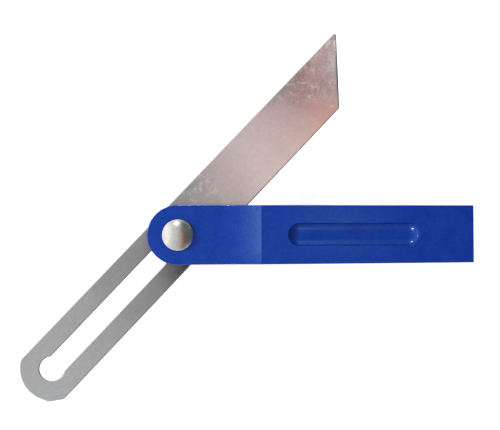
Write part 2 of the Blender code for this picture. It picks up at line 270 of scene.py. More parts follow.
far_corner_grey = (0.19, 0.21, 0.18)
near_corner_violet = (0.60, 0.55, 0.75)
room_darkened = tinted(room_tree, room_corner(0.10, 0.42, 0.58, 0.70), room_walls, far_corner_grey)
room_shiny = tinted(room_tree, room_corner(-0.50, -0.85, 0.76, 0.90), room_darkened, near_corner_violet)
room_off_shiny = room_tree.nodes.new("ShaderNodeLightPath").outputs["Is Glossy Ray"]
room_colour = tinted(room_tree, room_off_shiny, full_white, room_shiny)
room_mix = room_tree.nodes.new("ShaderNodeMixShader")
feed(room_tree, room_mix.inputs["Fac"], sees_white(room_tree))
feed(room_tree, room_mix.inputs[1], room_glow((0.97, 0.98, 1.0), 0.45))
feed(room_tree, room_mix.inputs[2], room_glow(room_colour, 1.0))
room_output = room_tree.nodes.new("ShaderNodeOutputWorld")
feed(room_tree, room_output.inputs["Surface"], room_mix.outputs["Shader"])


# Handle: one blue plastic moulding, thin and round at the pivot end.
# A hollow ramp rises on each face to the thicker grip, which has a finger recess.
# The blade's slot is moulded through it from the pivot end to a web at the butt.
handle_half_width = 0.0128
pivot_to_butt = 0.1321
pivot_face = 0.0060
grip_face = 0.0085
ramp_start = 0.0180
ramp_crest = 0.0358
ramp_steps = 28
handle_edge_round = 0.0003
recess_start = 0.0477
recess_length = 0.0592
recess_half_width = 0.0049
recess_depth = 0.0022
recess_side = 0.0040
recess_rim_round = 0.00025
slot_half_height = 0.0017
butt_web = 0.0140
bolt_hole_radius = 0.0028
neck_hole_half = 0.0029
cut_past = 0.0020
cut_merge = 0.000002
round_merge = 0.000003
same_place = 0.00001


def mesh_piece(name, shaped, place, smooth_angle=30.0):
    """A finished bmesh set down in its place as an object at the origin."""
    bmesh.ops.transform(shaped, matrix=place, verts=shaped.verts)
    mesh = bpy.data.meshes.new(name)
    shaped.to_mesh(mesh)
    shaped.free()
    mesh.shade_smooth()
    mesh.set_sharp_from_angle(angle=math.radians(smooth_angle))
    piece = stand(name, mesh)
    flats = piece.modifiers.new("flats stay flat", "WEIGHTED_NORMAL")
    flats.mode = "FACE_AREA"
    flats.weight = 100
    flats.keep_sharp = True
    return piece


def take_shape(shaped, made):
    """Give a bmesh the shape of an object with its modifiers."""
    seen = made.evaluated_get(bpy.context.evaluated_depsgraph_get())
    seen_mesh = seen.to_mesh()
    shaped.clear()
    shaped.from_mesh(seen_mesh)
    seen.to_mesh_clear()


def machined(shaped, tools):
    """The bmesh after each tool, a bmesh of its own, has cut it or been joined to it."""
    mesh = bpy.data.meshes.new("stock")
    shaped.to_mesh(mesh)
    stock = stand("stock", mesh)
    made = [stock]
    for action, tool in tools:
        tool_mesh = bpy.data.meshes.new("tool")
        tool.to_mesh(tool_mesh)
        tool.free()
        tool_object = stand("tool", tool_mesh)
        made.append(tool_object)
        step = stock.modifiers.new(action, "BOOLEAN")
        step.operation = action
        step.solver = "EXACT"
        step.object = tool_object
    take_shape(shaped, stock)
    for made_object in made:
        made_mesh = made_object.data
        bpy.data.objects.remove(made_object)
        bpy.data.meshes.remove(made_mesh)
    bmesh.ops.remove_doubles(shaped, verts=shaped.verts, dist=cut_merge)


def trim(shaped, plane_point, outward):
    """Cut away all that lies past a plane."""
    bmesh.ops.bisect_plane(
        shaped, geom=shaped.verts[:] + shaped.edges[:] + shaped.faces[:],
        plane_co=plane_point, plane_no=outward, clear_outer=True)
    bmesh.ops.remove_doubles(shaped, verts=shaped.verts, dist=cut_merge)


def new_verts(grown):
    """The points that an extrusion made."""
    return [part for part in grown["geom"] if isinstance(part, bmesh.types.BMVert)]


def round_ended_plan(radius, end_centre, straight_to, steps):
    """A flat strip along X: a round end on the left and a square end on the right."""
    plan = bmesh.new()
    bmesh.ops.create_circle(plan, cap_ends=True, segments=steps, radius=radius)
    bmesh.ops.translate(plan, vec=(end_centre, 0.0, 0.0), verts=plan.verts)
    trim(plan, (end_centre, 0.0, 0.0), (1.0, 0.0, 0.0))
    square_end = [edge for edge in plan.edges
                  if all(abs(vert.co.x - end_centre) < same_place for vert in edge.verts)]
    grown = bmesh.ops.extrude_edge_only(plan, edges=square_end)
    bmesh.ops.translate(plan, vec=(straight_to - end_centre, 0.0, 0.0), verts=new_verts(grown))
    bmesh.ops.dissolve_limit(plan, angle_limit=0.001, verts=plan.verts, edges=plan.edges)
    return plan


def sharp_edges(shaped, degrees=60.0):
    """The edges where two faces meet at more than an angle."""
    return [edge for edge in shaped.edges if edge.calc_face_angle(0.0) > math.radians(degrees)]


def round_off(shaped, edges, width, segments):
    """Round the given edges, and merge what meets."""
    bmesh.ops.bevel(
        shaped, geom=edges, offset=width, segments=segments, profile=0.5,
        affect="EDGES", material=-1, loop_slide=False)
    bmesh.ops.remove_doubles(shaped, verts=shaped.verts, dist=round_merge)


def thickened(plan, low, high):
    """The solid that stands on a flat plan from one height to another."""
    bmesh.ops.translate(plan, vec=(0.0, 0.0, low), verts=plan.verts)
    lifted = bmesh.ops.extrude_face_region(plan, geom=plan.faces[:])
    bmesh.ops.translate(plan, vec=(0.0, 0.0, high - low), verts=new_verts(lifted))
    bmesh.ops.recalc_face_normals(plan, faces=plan.faces)
    return plan


def rod_tool(radius, low, high, centre=(0.0, 0.0), steps=96):
    """An upright rod."""
    tool = bmesh.new()
    bmesh.ops.create_cone(
        tool, cap_ends=True, segments=steps, radius1=radius, radius2=radius, depth=high - low,
        matrix=Matrix.Translation((*centre, (low + high) / 2)))
    return tool


def box_tool(low, high):
    """A box between two corners."""
    size = Vector(high) - Vector(low)
    middle = (Vector(high) + Vector(low)) / 2
    tool = bmesh.new()
    bmesh.ops.create_cube(tool, size=1.0)
    bmesh.ops.scale(tool, vec=size, verts=tool.verts)
    bmesh.ops.translate(tool, vec=middle, verts=tool.verts)
    return tool


def stadium(start, end, radius, low, high, steps):
    """An upright bar with both ends round, from start to end along X."""
    bar = thickened(round_ended_plan(radius, start + radius, end - radius, steps), low, high)
    machined(bar, [("UNION", rod_tool(radius, low, high, (end - radius, 0.0), steps))])
    bmesh.ops.dissolve_limit(bar, angle_limit=0.001, verts=bar.verts, edges=bar.edges)
    return bar


def recess_tool(side):
    """The core that leaves the finger recess: a bar fully rounded below, then flattened."""
    bar = stadium(
        recess_start, recess_start + recess_length, recess_half_width, -recess_side, cut_past, 64)
    low_edges = [edge for edge in bar.edges
                 if all(abs(vert.co.z + recess_side) < same_place for vert in edge.verts)]
    round_off(bar, low_edges, recess_side * 0.98, 10)
    bmesh.ops.scale(bar, vec=(1.0, 1.0, recess_depth / recess_side), verts=bar.verts)
    bmesh.ops.translate(bar, vec=(0.0, 0.0, grip_face), verts=bar.verts)
    if side < 0:
        turn = Matrix.Rotation(math.pi, 3, "X")
        bmesh.ops.rotate(bar, cent=(0.0, 0.0, 0.0), matrix=turn, verts=bar.verts)
    return bar


handle_plan = round_ended_plan(handle_half_width, 0.0, pivot_to_butt, 160)
handle_shaped = thickened(handle_plan, -grip_face, grip_face)
round_off(handle_shaped, sharp_edges(handle_shaped), handle_edge_round, 4)
ramp_rise = grip_face - pivot_face
ramp_run = ramp_crest - ramp_start
ramp_radius = (ramp_run ** 2 + ramp_rise ** 2) / (2 * ramp_rise)
for step in range(ramp_steps + 1):
    station = ramp_start + ramp_run * step / ramp_steps
    bmesh.ops.bisect_plane(
        handle_shaped, geom=handle_shaped.verts[:] + handle_shaped.edges[:] + handle_shaped.faces[:],
        plane_co=(station, 0.0, 0.0), plane_no=(1.0, 0.0, 0.0))
for vert in handle_shaped.verts:
    along = min(max(vert.co.x - ramp_start, 0.0), ramp_run)
    risen = ramp_radius - math.sqrt(ramp_radius ** 2 - along ** 2)
    vert.co.z -= math.copysign(ramp_rise - risen, vert.co.z)
machined(handle_shaped, [("DIFFERENCE", recess_tool(side)) for side in (1, -1)])
rim_edges = [edge for edge in sharp_edges(handle_shaped, 45.0)
             if all(abs(abs(vert.co.z) - grip_face) < same_place for vert in edge.verts)
             and all(abs(vert.co.y) < recess_half_width + 0.0001 for vert in edge.verts)]
round_off(handle_shaped, rim_edges, recess_rim_round, 3)
past_side = handle_half_width + cut_past
machined(handle_shaped, [
    ("DIFFERENCE", box_tool(
        (-past_side, -past_side, -slot_half_height),
        (pivot_to_butt - butt_web, past_side, slot_half_height))),
    ("DIFFERENCE", box_tool(
        (-neck_hole_half, -neck_hole_half, 0.0),
        (neck_hole_half, neck_hole_half, pivot_face + cut_past))),
    ("DIFFERENCE", rod_tool(bolt_hole_radius, -pivot_face - cut_past, 0.0)),
])
handle = mesh_piece("handle_moulding", handle_shaped, set_down)
for edge in handle.data.edges:
    ends = [handle.data.vertices[index].co - pivot for index in edge.vertices]
    if all(abs(end.x - ramp_crest) < 2 * same_place for end in ends):
        edge.use_edge_sharp = True


def new_group(name, inputs, outputs):
    """An empty node group with number sockets, one of them a Vector where its name says so."""
    group = bpy.data.node_groups.new(name, "ShaderNodeTree")
    for socket in inputs:
        kind = "NodeSocketVector" if socket == "Vector" else "NodeSocketFloat"
        group.interface.new_socket(socket, in_out="INPUT", socket_type=kind)
    for socket in outputs:
        group.interface.new_socket(socket, in_out="OUTPUT", socket_type="NodeSocketFloat")
    group_in = group.nodes.new("NodeGroupInput")
    group_out = group.nodes.new("NodeGroupOutput")
    return group, group_in.outputs, group_out.inputs


def grouped(tree, group, vector, **values):
    """What a node group puts out at a vector."""
    group_node = tree.nodes.new("ShaderNodeGroup")
    group_node.node_tree = group
    fill(tree, group_node, {"Vector": vector, **values})
    return group_node.outputs


def noise(tree, vector, scale, detail, distortion=0.0, roughness=0.5, output="Fac"):
    """A cloudy pattern."""
    texture = tree.nodes.new("ShaderNodeTexNoise")
    fill(tree, texture, {
        "Vector": vector, "Scale": scale, "Detail": detail,
        "Distortion": distortion, "Roughness": roughness})
    return texture.outputs[output]


def placed(tree, vector, centre, angle=0.0, size=(1.0, 1.0, 1.0)):
    """Coordinates about a centre, turned, and counted in the given size."""
    mapping = tree.nodes.new("ShaderNodeMapping")
    mapping.vector_type = "TEXTURE"
    fill(tree, mapping, {
        "Vector": vector, "Location": centre,
        "Rotation": (0.0, 0.0, math.radians(angle)), "Scale": size})
    return mapping.outputs["Vector"]


def bumped(tree, height, strength, distance):
    """A surface direction that follows a height."""
    bump = tree.nodes.new("ShaderNodeBump")
    fill(tree, bump, {"Height": height, "Strength": strength, "Distance": distance})
    return bump.outputs["Normal"]


# Wear and shade patch: a soft-edged spot of size one about its centre, broken up by a noise, used for wear
# and for painted shade.
patch, patch_in, patch_out = new_group("wear_and_shade_patch", ["Vector", "Noise", "Ragged"], ["Mask"])
patch_reach = reckon_vectors(patch, "LENGTH", patch_in["Vector"])
patch_break = reckon(patch, "SUBTRACT", patch_in["Noise"], 0.5)
patch_rough = reckon(patch, "MULTIPLY_ADD", patch_break, patch_in["Ragged"], patch_reach)
feed(patch, patch_out["Mask"], remap(patch, patch_rough, 1.0, 0.1, smooth=True))


def wear_and_shade_patch(tree, vector, noise_value, ragged, centre, angle, size):
    """A soft patch in a material, at its place there, for wear or for painted shade."""
    spot_vector = placed(tree, vector, centre, angle, size)
    return grouped(tree, patch, spot_vector, Noise=noise_value, Ragged=ragged)["Mask"]


# Specks: small round spots in some of the cells of a random pattern.
specks, specks_in, specks_out = new_group("specks", ["Vector", "Scale", "Size", "Rare"], ["Mask"])
specks_cells = specks.nodes.new("ShaderNodeTexVoronoi")
fill(specks, specks_cells, {"Vector": specks_in["Vector"], "Scale": specks_in["Scale"]})
specks_near = reckon(specks, "DIVIDE", specks_cells.outputs["Distance"], specks_in["Size"])
specks_dots = remap(specks, specks_near, 1.0, 0.4)
specks_chosen = specks.nodes.new("ShaderNodeSeparateColor")
feed(specks, specks_chosen.inputs["Color"], specks_cells.outputs["Color"])
specks_over = reckon(specks, "SUBTRACT", specks_chosen.outputs["Red"], specks_in["Rare"])
specks_kept = remap(specks, specks_over, 0.0, 0.35)
feed(specks, specks_out["Mask"], reckon(specks, "MULTIPLY", specks_dots, specks_kept))

deep_blue = (0.0004, 0.022, 0.268)
light_blue = (0.0028, 0.033, 0.308)
wear_and_sheen_blue = (0.034, 0.090, 0.325)
haze_share = 0.28
wall_sheen_share = 0.22
blue, blue_tree, blue_shader = new_material("blue_plastic_moulding")
blue_place = blue_tree.nodes.new("ShaderNodeTexCoord").outputs
blue_centred = placed(blue_tree, blue_place["Object"], pivot)
blue_clouds = noise(blue_tree, blue_centred, 160.0, 5.0)
blue_fine = noise(blue_tree, blue_centred, 900.0, 3.0)
blue_parts = parted(blue_tree, blue_centred)
blue_height = reckon(blue_tree, "ABSOLUTE", blue_parts["Z"])
blue_upright = reckon(blue_tree, "ABSOLUTE", parted(blue_tree, blue_place["Normal"])["Z"])
blue_mottle = reckon(blue_tree, "ADD", blue_clouds, blue_fine)
blue_paint = tinted(blue_tree, remap(blue_tree, blue_mottle, 0.80, 1.22), deep_blue, light_blue)

# Wear and painted sheen: a painted sheen pales the ramp up to its crest, the face hazes where the palm
# holds it, a painted sheen pales the walls of the recess, and a few specks lie all over.
# Painted sheen: the ramp's colour pales towards its crest, for the light it catches from the left.
blue_climb = remap(blue_tree, blue_parts["X"], ramp_start, ramp_crest)
blue_climb_bent = reckon(blue_tree, "POWER", blue_climb, 2.4)
blue_below_crest = reckon(blue_tree, "LESS_THAN", blue_parts["X"], ramp_crest)
blue_ramp_fade = remap(blue_tree, blue_parts["Y"], -0.0125, -0.0060, 0.35, 1.0)
blue_ramp_sheen_rise = reckon(blue_tree, "MULTIPLY", blue_climb_bent, blue_below_crest)
blue_ramp_painted_sheen = reckon(blue_tree, "MULTIPLY", blue_ramp_sheen_rise, blue_ramp_fade)
blue_haze = wear_and_shade_patch(
    blue_tree, blue_centred, blue_clouds, 1.2, (0.0720, 0.0030, 0.0), 0.0, (0.0360, 0.0200, 1.0))
blue_high_face = remap(blue_tree, blue_height, grip_face - 0.0008, grip_face - 0.0001)
blue_face_haze = reckon(blue_tree, "MULTIPLY", blue_haze, blue_high_face)
blue_face_wear = reckon(blue_tree, "MULTIPLY", blue_face_haze, haze_share)
# Painted sheen: the recess walls past the ramp are paler, for the lamps reflected in them.
blue_wall = remap(blue_tree, blue_upright, 0.99, 0.90, smooth=True)
blue_in_recess = remap(blue_tree, blue_height, grip_face - 0.0002, grip_face - 0.0008)
blue_past_ramp = reckon(blue_tree, "GREATER_THAN", blue_parts["X"], recess_start)
blue_recess_wall = reckon(blue_tree, "MULTIPLY", blue_wall, blue_in_recess)
blue_sheened_wall = reckon(blue_tree, "MULTIPLY", blue_recess_wall, blue_past_ramp)
blue_wall_painted_sheen = reckon(blue_tree, "MULTIPLY", blue_sheened_wall, wall_sheen_share)
blue_haze_and_wall_sheen = reckon(blue_tree, "MAXIMUM", blue_face_wear, blue_wall_painted_sheen)
blue_wear_and_sheen = reckon(blue_tree, "MAXIMUM", blue_haze_and_wall_sheen, blue_ramp_painted_sheen)
blue_patchy = remap(blue_tree, blue_fine, 0.25, 0.75, 0.75, 1.25)
blue_patchy_wear_and_sheen = reckon(blue_tree, "MULTIPLY", blue_wear_and_sheen, blue_patchy)
blue_specks = grouped(blue_tree, specks, blue_centred, Scale=300.0, Size=0.14, Rare=0.80)
blue_wear_and_sheen_share = reckon(blue_tree, "MAXIMUM", blue_patchy_wear_and_sheen, blue_specks["Mask"])

# The face is satin, and the moulded walls have more polish.
blue_rough = remap(blue_tree, blue_clouds, 0.0, 1.0, 0.28, 0.35)
blue_polish = remap(blue_tree, blue_upright, 0.96, 0.92, 1.0, 0.50)
fill(blue_tree, blue_shader, {
    "Base Color": tinted(blue_tree, blue_wear_and_sheen_share, blue_paint, wear_and_sheen_blue),
    "Roughness": reckon(blue_tree, "MULTIPLY", blue_rough, blue_polish),
    "Specular IOR Level": 0.32,
    "Specular Tint": (0.46, 0.84, 1.0),
    "Normal": bumped(blue_tree, blue_fine, 0.10, 0.00004),
})
handle.data.materials.append(blue)
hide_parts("handle")
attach(handle, "stock")

# The glint lamps light the plastic alone: they put the sparks in the recess's butt end.
moulding_only = bpy.data.collections.new("moulding_only")
moulding_only.objects.link(handle)
for glint_lamp in glint_lamps:
    glint_lamp.light_linking.receiver_collection = moulding_only


# Blade: one strip of cold-rolled spring steel, sheared to a point at one end
# and blanked round at the other, with a long slot that opens into a keyhole.
# Its edges are lightly broken on a stone; the face is bare, and its colour holds a faintly rosy painted
# reflection.
blade_half_width = 0.0125
blade_half_thickness = 0.0006
blade_side_play = 0.0010
pivot_to_tip = 0.11509
pivot_to_tail = 0.09049
tip_cut_angle = math.radians(46.0)
tip_round = 0.0010
tail_radius = 0.0142
tail_straight_facing = math.radians(200.0)
tail_straight_length = 0.0037
tail_facet_to_tail = 0.0073
tail_corner_round = 0.0022
blade_slot_half = 0.00405
slot_past_pivot = 0.0105
keyhole_radius = 0.00505
keyhole_to_tail = 0.0133
keyhole_side_shift = 0.0002
broken_edge_width = 0.00045
broken_edge_depth = 0.00020


def facing(angle):
    """The direction that an angle points to."""
    return Vector((math.cos(angle), math.sin(angle), 0.0))


def trim_round(plan, centre, radius, first_angle, last_angle, steps):
    """Trim a flat plan to an arc, by cuts that each face a little further round."""
    for step in range(steps + 1):
        outward = facing(first_angle + (last_angle - first_angle) * step / steps)
        trim(plan, centre + outward * radius, outward)


def trim_corner(plan, corner, first_angle, last_angle, radius):
    """Round a corner between two straight cuts, each given by the angle that it faces."""
    first, last = facing(first_angle), facing(last_angle)
    centre = corner - (first + last) * radius / (1 + first.dot(last))
    trim_round(plan, centre, radius, first_angle, last_angle, 20)


facing_far = math.pi / 2
facing_near = 1.5 * math.pi
facing_far_again = 2.5 * math.pi
tail_centre = Vector((tail_radius - pivot_to_tail, 0.0, 0.0))
tail_first_facing = math.pi - math.asin(blade_half_width / tail_radius)
tail_first_corner = tail_centre + facing(tail_first_facing) * tail_radius
tail_arc_end = tail_centre + facing(tail_straight_facing) * tail_radius
blunt_corner = tail_arc_end + facing(tail_straight_facing + math.pi / 2) * tail_straight_length
side_corner = Vector((tail_facet_to_tail - pivot_to_tail, -blade_half_width, 0.0))
facet = side_corner - blunt_corner
facet_facing = math.atan2(facet.y, facet.x) + facing_near
tip_facing = facing_near + tip_cut_angle
tip_set_back = 2 * blade_half_width / math.tan(tip_cut_angle)
long_corner = Vector((pivot_to_tip, blade_half_width, 0.0))
short_corner = Vector((pivot_to_tip - tip_set_back, -blade_half_width, 0.0))

blade_plan = bmesh.new()
blank_size = (pivot_to_tip + pivot_to_tail + cut_past, 2 * blade_half_width, 1.0)
blank_middle = ((pivot_to_tip - pivot_to_tail) / 2, 0.0, 0.0)
bmesh.ops.create_grid(blade_plan, x_segments=1, y_segments=1, size=0.5)
bmesh.ops.scale(blade_plan, vec=blank_size, verts=blade_plan.verts)
bmesh.ops.translate(blade_plan, vec=blank_middle, verts=blade_plan.verts)
trim_round(blade_plan, tail_centre, tail_radius, tail_first_facing, tail_straight_facing, 50)
trim(blade_plan, side_corner, facing(facet_facing))
trim(blade_plan, long_corner, facing(tip_facing))
for corner, first_angle, last_angle, radius in (
    (tail_first_corner, facing_far, tail_first_facing, tail_corner_round),
    (blunt_corner, tail_straight_facing, facet_facing, tail_corner_round),
    (side_corner, facet_facing, facing_near, tail_corner_round),
    (short_corner, facing_near, tip_facing, tip_round),
    (long_corner, tip_facing, facing_far_again, tip_round),
):
    trim_corner(blade_plan, corner, first_angle, last_angle, radius)
blade_core = blade_half_thickness - broken_edge_depth
keyhole = (keyhole_to_tail - pivot_to_tail, keyhole_side_shift)
slot_bar = stadium(
    keyhole[0] - blade_slot_half, slot_past_pivot + blade_slot_half,
    blade_slot_half, -cut_past, cut_past, 96)
blade_shaped = thickened(blade_plan, -blade_core, blade_core)
machined(blade_shaped, [
    ("DIFFERENCE", slot_bar),
    ("DIFFERENCE", rod_tool(keyhole_radius, -cut_past, cut_past, keyhole)),
])
blade_faces = [face for face in blade_shaped.faces if abs(face.normal.z) > 0.9]
bmesh.ops.inset_region(
    blade_shaped, faces=blade_faces, thickness=broken_edge_width, depth=broken_edge_depth,
    use_boundary=True, use_even_offset=True)
bmesh.ops.translate(blade_shaped, vec=(0.0, -blade_side_play, 0.0), verts=blade_shaped.verts)
blade = mesh_piece("blade_strip", blade_shaped, blade_set_down, 20.0)


# Rolling grain: the fine lines and pits that rolled or plated steel keeps.
grain, grain_in, grain_out = new_group("metal_grain", ["Vector", "Scale", "Stretch"], ["Lines", "Pits"])
grain_stretch = grain.nodes.new("ShaderNodeCombineXYZ")
fill(grain, grain_stretch, {"X": grain_in["Stretch"], "Y": 1.0, "Z": 1.0})
grain_drawn = reckon_vectors(grain, "MULTIPLY", grain_in["Vector"], grain_stretch.outputs["Vector"])
grain_lines = noise(grain, grain_drawn, grain_in["Scale"], 4.0, roughness=0.65)
grain_pits = noise(grain, grain_in["Vector"], grain_in["Scale"], 3.0, roughness=0.7)
feed(grain, grain_out["Lines"], grain_lines)
feed(grain, grain_out["Pits"], grain_pits)

# Fine scratches: thin curved hairs where a bent noise crosses its middle value.
scuffs, scuffs_in, scuffs_out = new_group("fine_scratches", ["Vector", "Scale", "Width"], ["Mask"])
scuffs_bent = noise(scuffs, scuffs_in["Vector"], scuffs_in["Scale"], 1.0, 0.7)
scuffs_middle = reckon(scuffs, "SUBTRACT", scuffs_bent, 0.5)
scuffs_off = reckon(scuffs, "ABSOLUTE", scuffs_middle)
scuffs_near = reckon(scuffs, "DIVIDE", scuffs_off, scuffs_in["Width"])
scuffs_hair = remap(scuffs, scuffs_near, 1.0, 0.0)
scuffs_short = noise(scuffs, scuffs_in["Vector"], 210.0, 3.0)
scuffs_broken = remap(scuffs, scuffs_short, 0.42, 0.60)
feed(scuffs, scuffs_out["Mask"], reckon(scuffs, "MULTIPLY", scuffs_hair, scuffs_broken))

steel, steel_tree, steel_shader = new_material("rolled_blade_steel")
steel_place = steel_tree.nodes.new("ShaderNodeTexCoord").outputs
blade_middle = blade_set_down @ Vector((0.0, -blade_side_play, 0.0))
steel_along = placed(steel_tree, steel_place["Object"], blade_middle, blade_degrees)
steel_clouds = noise(steel_tree, steel_along, 60.0, 4.0)
steel_flecks = noise(steel_tree, steel_along, 420.0, 3.0)
steel_crumbs = noise(steel_tree, steel_along, 1300.0, 3.0)
steel_parts = parted(steel_tree, steel_along)

# Painted reflection and shade on the face, from the tail to the tip along the blade's two edges:
# grey on the lower part and painted shade darker towards the handle, where the near arm lies in its shade,
# then a rosy painted reflection past the handle, wine red to orange near the tip.
upper_edge_painted_reflection = (
    (-0.080, (0.44, 0.45, 0.45)),
    (-0.058, (0.42, 0.43, 0.43)),
    (-0.048, (0.41, 0.42, 0.42)),
    (-0.036, (0.36, 0.36, 0.37)),
    (-0.018, (0.34, 0.34, 0.35)),
    (0.014, (0.38, 0.35, 0.37)),
    (0.022, (0.46, 0.39, 0.41)),
    (0.030, (0.57, 0.48, 0.49)),
    (0.038, (0.66, 0.55, 0.56)),
    (0.047, (0.75, 0.63, 0.65)),
    (0.058, (0.75, 0.61, 0.63)),
    (0.068, (0.66, 0.52, 0.55)),
    (0.074, (0.55, 0.44, 0.47)),
    (0.080, (0.47, 0.33, 0.35)),
    (0.087, (0.51, 0.35, 0.36)),
    (0.093, (0.57, 0.38, 0.39)),
    (0.099, (0.63, 0.46, 0.48)),
    (0.105, (0.68, 0.52, 0.54)),
    (0.112, (0.66, 0.50, 0.54)),
)
lower_edge_painted_reflection = (
    (-0.080, (0.47, 0.48, 0.49)),
    (-0.070, (0.46, 0.47, 0.48)),
    (-0.058, (0.43, 0.44, 0.44)),
    (-0.048, (0.41, 0.42, 0.42)),
    (-0.036, (0.36, 0.36, 0.37)),
    (-0.024, (0.30, 0.31, 0.31)),
    (-0.018, (0.24, 0.24, 0.25)),
    (-0.0145, (0.16, 0.16, 0.16)),
    (-0.0105, (0.10, 0.10, 0.10)),
    (-0.0065, (0.05, 0.05, 0.05)),
    (0.014, (0.50, 0.50, 0.50)),
    (0.024, (0.57, 0.54, 0.53)),
    (0.031, (0.68, 0.58, 0.57)),
    (0.038, (0.80, 0.67, 0.67)),
    (0.047, (0.88, 0.75, 0.73)),
    (0.058, (0.90, 0.73, 0.70)),
    (0.068, (0.91, 0.69, 0.66)),
    (0.075, (0.90, 0.62, 0.59)),
    (0.082, (0.86, 0.53, 0.49)),
    (0.088, (0.84, 0.54, 0.50)),
    (0.094, (0.78, 0.58, 0.56)),
    (0.104, (0.70, 0.54, 0.54)),
)
reflection_drift_along = 0.010
reflection_drift_across = 0.008


def drifted(value, drift, low, high):
    """How far a value has come from low to high, with the borders moved by the clouds."""
    moved = reckon(steel_tree, "MULTIPLY_ADD", steel_clouds, drift, value)
    return remap(steel_tree, moved, drift / 2 + low, drift / 2 + high)


reflection_share_along = drifted(steel_parts["X"], reflection_drift_along, -pivot_to_tail, pivot_to_tip)
reflection_share_across = drifted(steel_parts["Y"], reflection_drift_across, -blade_half_width, blade_half_width)
lower_painted_reflection, upper_painted_reflection = [
    colour_ramp(steel_tree, reflection_share_along, tuple(
        ((along + pivot_to_tail) / (pivot_to_tip + pivot_to_tail), colour) for along, colour in reflection_stops))
    for reflection_stops in (lower_edge_painted_reflection, upper_edge_painted_reflection)
]
# Painted reflection on the face, blended from the lower edge's colours to the upper edge's.
steel_tone_and_painted_reflection = tinted(steel_tree, reflection_share_across, lower_painted_reflection, upper_painted_reflection)

# Marks on the painted reflection: patches made pale, dark, bluish or rosy.
# Each has its centre, the way it runs, its half sizes, its strength and its colour.
pale = (0.94, 0.92, 0.91)
dusky = (0.41, 0.26, 0.28)
bluish = (0.38, 0.40, 0.42)
rosy = (0.84, 0.54, 0.47)
face_marks = (
    ((0.1084, 0.0112), 5, (0.0030, 0.0013), 0.90, pale),
    ((0.1098, 0.0082), 48, (0.0050, 0.0012), 0.90, pale),
    ((0.1035, 0.0040), 45, (0.0075, 0.0032), 0.55, pale),
    ((0.1000, 0.0110), 0, (0.0070, 0.0030), 0.30, pale),
    ((0.0945, 0.0080), 30, (0.0085, 0.0042), 0.15, rosy),
    ((0.0905, 0.0108), 0, (0.0090, 0.0034), 0.60, dusky),
    ((0.0930, -0.0015), -40, (0.0080, 0.0050), 0.30, dusky),
    ((0.0840, 0.0040), -15, (0.0110, 0.0060), 0.35, dusky),
    ((0.0800, 0.0116), 0, (0.0150, 0.0028), 0.42, bluish),
    ((0.0755, 0.0098), -55, (0.0026, 0.0010), 0.30, pale),
    ((0.0874, 0.0073), -44, (0.0036, 0.0007), 0.48, pale),
    ((0.0900, 0.0024), -50, (0.0032, 0.0006), 0.42, pale),
    ((0.0942, 0.0064), 44, (0.0030, 0.0006), 0.45, pale),
    ((0.0992, 0.0098), 60, (0.0026, 0.0005), 0.40, pale),
    ((0.0850, 0.0007), 60, (0.0010, 0.0007), 0.70, pale),
    ((0.0911, -0.0022), 40, (0.0040, 0.0014), 0.28, pale),
    ((0.0889, -0.0094), 20, (0.0012, 0.0008), 0.55, pale),
    ((0.0233, 0.0090), 44, (0.0050, 0.0007), 0.35, pale),
    ((0.0825, 0.0108), -45, (0.0028, 0.0010), 0.50, pale),
    ((0.0180, 0.0108), 0, (0.0130, 0.0034), 0.50, bluish),
)
patch_thickness = 0.1
mark_shake = 0.004
steel_wobble = noise(steel_tree, steel_along, 450.0, 2.0, output="Color")
steel_shaken = reckon_vectors(
    steel_tree, "MULTIPLY_ADD", steel_wobble, (mark_shake, mark_shake, 0.0), steel_along)
steel_unsteady = placed(steel_tree, steel_shaken, (mark_shake / 2, mark_shake / 2, 0.0))
for mark_centre, mark_angle, mark_size, mark_strength, mark_colour in face_marks:
    mark = wear_and_shade_patch(
        steel_tree, steel_unsteady, steel_crumbs, 2.2,
        (*mark_centre, 0.0), mark_angle, (*mark_size, patch_thickness))
    mark_share = reckon(steel_tree, "MULTIPLY", mark, mark_strength)
    steel_tone_and_painted_reflection = tinted(steel_tree, mark_share, steel_tone_and_painted_reflection, mark_colour)

# Fine scratches and specks, most of them in two zones: near the tip and by the handle.
worn_share = 0.55
steel_hairs = grouped(steel_tree, scuffs, steel_along, Scale=170.0, Width=0.022)
steel_short_hairs = grouped(steel_tree, scuffs, steel_along, Scale=420.0, Width=0.060)
steel_specks = grouped(steel_tree, specks, steel_along, Scale=700.0, Size=0.26, Rare=0.55)
steel_tip_zone = wear_and_shade_patch(
    steel_tree, steel_along, steel_flecks, 0.8,
    (0.0945, 0.0035, 0.0), -12.0, (0.0230, 0.0150, patch_thickness))
steel_near_zone = wear_and_shade_patch(
    steel_tree, steel_along, steel_flecks, 0.8,
    (0.0200, 0.0060, 0.0), 0.0, (0.0150, 0.0120, patch_thickness))
steel_zone = reckon(steel_tree, "SQRT", reckon(steel_tree, "MAXIMUM", steel_tip_zone, steel_near_zone))
steel_speck_zone = remap(steel_tree, steel_zone, 0.0, 1.0, 0.25, 1.0)
steel_spotted = reckon(steel_tree, "MULTIPLY", steel_specks["Mask"], steel_speck_zone)
steel_both_hairs = reckon(steel_tree, "MAXIMUM", steel_hairs["Mask"], steel_short_hairs["Mask"])
steel_scratched = reckon(steel_tree, "MULTIPLY", steel_both_hairs, steel_zone)
steel_worn = reckon(steel_tree, "MAXIMUM", steel_scratched, steel_spotted)
steel_worn_share = reckon(steel_tree, "MULTIPLY", steel_worn, worn_share)
steel_tone_and_painted_reflection = tinted(steel_tree, steel_worn_share, steel_tone_and_painted_reflection, pale)

